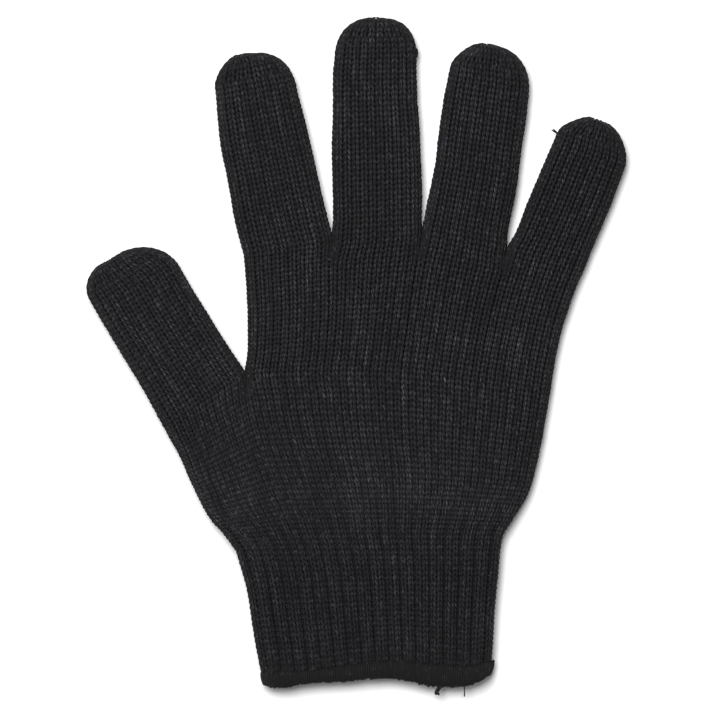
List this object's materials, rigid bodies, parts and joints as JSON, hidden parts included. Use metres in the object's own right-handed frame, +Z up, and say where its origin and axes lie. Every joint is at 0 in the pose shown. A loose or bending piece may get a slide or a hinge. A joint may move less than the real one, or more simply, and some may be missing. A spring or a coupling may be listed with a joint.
{
  "type": "knitted cut-resistant glove",
  "caption": "Seamless knitted cut-resistant work glove lying flat, with hollow fingers that fold at the knuckles and a ribbed cuff with an overlocked hem.",
  "frame": {"origin": "centre of the glove's underside as it lies flat, on the table", "axes": "+Y towards the fingertips, +Z up through the thickness, +X towards the little finger"},
  "size_m": [0.1931, 0.24, 0.01],
  "materials": {
    "plain_knit": "matte",
    "ribbed_knit": "matte",
    "overlock_yarn": "matte",
    "elastic_thread": "satin",
    "yarn_end": "matte"
  },
  "bodies": {
    "hand": {"palm_lower": "plain_knit", "palm_upper": "plain_knit"},
    "cuff": {"wrist_knit": "ribbed_knit", "cuff_rib": "ribbed_knit", "cuff_hem": "overlock_yarn", "cuff_elastic": "elastic_thread", "hem_yarn_ends": "yarn_end"},
    "thumb_base": {"thumb_base_knuckle": "plain_knit", "thumb_base": "plain_knit"},
    "thumb_tip": {"thumb_end_knuckle": "plain_knit", "thumb_tip": "plain_knit", "thumb_tip_tail": "yarn_end"},
    "index_base": {"index_base_knuckle": "plain_knit", "index_base": "plain_knit"},
    "index_middle": {"index_middle_knuckle": "plain_knit", "index_middle": "plain_knit"},
    "index_tip": {"index_end_knuckle": "plain_knit", "index_tip": "plain_knit"},
    "middle_base": {"middle_base_knuckle": "plain_knit", "middle_base": "plain_knit"},
    "middle_middle": {"middle_middle_knuckle": "plain_knit", "middle_middle": "plain_knit"},
    "middle_tip": {"middle_end_knuckle": "plain_knit", "middle_tip": "plain_knit", "middle_tip_tail": "yarn_end"},
    "ring_base": {"ring_base_knuckle": "plain_knit", "ring_base": "plain_knit"},
    "ring_middle": {"ring_middle_knuckle": "plain_knit", "ring_middle": "plain_knit"},
    "ring_tip": {"ring_end_knuckle": "plain_knit", "ring_tip": "plain_knit"},
    "little_base": {"little_base_knuckle": "plain_knit", "little_base": "plain_knit"},
    "little_middle": {"little_middle_knuckle": "plain_knit", "little_middle": "plain_knit"},
    "little_tip": {"little_end_knuckle": "plain_knit", "little_tip": "plain_knit", "little_tip_tail": "yarn_end"}
  },
  "joints": [
    {"name": "wrist_fold", "type": "hinge", "parent": "hand", "child": "cuff", "pos_m": [0.0046, -0.078, 0.005], "axis": [-0.9977, -0.068, 0], "range_deg": [0, 60], "deforming": ["wrist_knit"]},
    {"name": "thumb_base_fold", "type": "hinge", "parent": "hand", "child": "thumb_base", "pos_m": [-0.06118, -0.00471, 0.005], "axis": [0.8634, 0.5045, 0], "range_deg": [0, 60], "deforming": ["thumb_base_knuckle"]},
    {"name": "thumb_end_fold", "type": "hinge", "parent": "thumb_base", "child": "thumb_tip", "pos_m": [-0.07228, 0.01429, 0.005], "axis": [0.8634, 0.5045, 0], "range_deg": [0, 75], "deforming": ["thumb_end_knuckle"]},
    {"name": "index_base_fold", "type": "hinge", "parent": "hand", "child": "index_base", "pos_m": [-0.02693, 0.05104, 0.005], "axis": [0.9962, 0.0872, 0], "range_deg": [0, 85], "deforming": ["index_base_knuckle"]},
    {"name": "index_middle_fold", "type": "hinge", "parent": "index_base", "child": "index_middle", "pos_m": [-0.03128, 0.07362, 0.005], "axis": [0.9962, 0.0872, 0], "range_deg": [0, 95], "deforming": ["index_middle_knuckle"]},
    {"name": "index_end_fold", "type": "hinge", "parent": "index_middle", "child": "index_tip", "pos_m": [-0.03458, 0.09081, 0.005], "axis": [0.9962, 0.0872, 0], "range_deg": [0, 50], "deforming": ["index_end_knuckle"]},
    {"name": "middle_base_fold", "type": "hinge", "parent": "hand", "child": "middle_base", "pos_m": [0.00768, 0.053, 0.005], "axis": [1, 0, 0], "range_deg": [0, 85], "deforming": ["middle_base_knuckle"]},
    {"name": "middle_middle_fold", "type": "hinge", "parent": "middle_base", "child": "middle_middle", "pos_m": [0.00747, 0.077, 0.005], "axis": [1, 0, 0], "range_deg": [0, 95], "deforming": ["middle_middle_knuckle"]},
    {"name": "middle_end_fold", "type": "hinge", "parent": "middle_middle", "child": "middle_tip", "pos_m": [0.00728, 0.099, 0.005], "axis": [1, 0, 0], "range_deg": [0, 50], "deforming": ["middle_end_knuckle"]},
    {"name": "ring_base_fold", "type": "hinge", "parent": "hand", "child": "ring_base", "pos_m": [0.04023, 0.05136, 0.005], "axis": [0.9976, -0.0698, 0], "range_deg": [0, 85], "deforming": ["ring_base_knuckle"]},
    {"name": "ring_middle_fold", "type": "hinge", "parent": "ring_base", "child": "ring_middle", "pos_m": [0.04348, 0.07312, 0.005], "axis": [0.9976, -0.0698, 0], "range_deg": [0, 95], "deforming": ["ring_middle_knuckle"]},
    {"name": "ring_end_fold", "type": "hinge", "parent": "ring_middle", "child": "ring_tip", "pos_m": [0.04637, 0.0924, 0.005], "axis": [0.9976, -0.0698, 0], "range_deg": [0, 50], "deforming": ["ring_end_knuckle"]},
    {"name": "little_base_fold", "type": "hinge", "parent": "hand", "child": "little_base", "pos_m": [0.07273, 0.04575, 0.005], "axis": [0.9781, -0.2079, 0], "range_deg": [0, 85], "deforming": ["little_base_knuckle"]},
    {"name": "little_middle_fold", "type": "hinge", "parent": "little_base", "child": "little_middle", "pos_m": [0.07872, 0.06058, 0.005], "axis": [0.9781, -0.2079, 0], "range_deg": [0, 95], "deforming": ["little_middle_knuckle"]},
    {"name": "little_end_fold", "type": "hinge", "parent": "little_middle", "child": "little_tip", "pos_m": [0.08359, 0.07264, 0.005], "axis": [0.9781, -0.2079, 0], "range_deg": [0, 50], "deforming": ["little_end_knuckle"]}
  ]
}
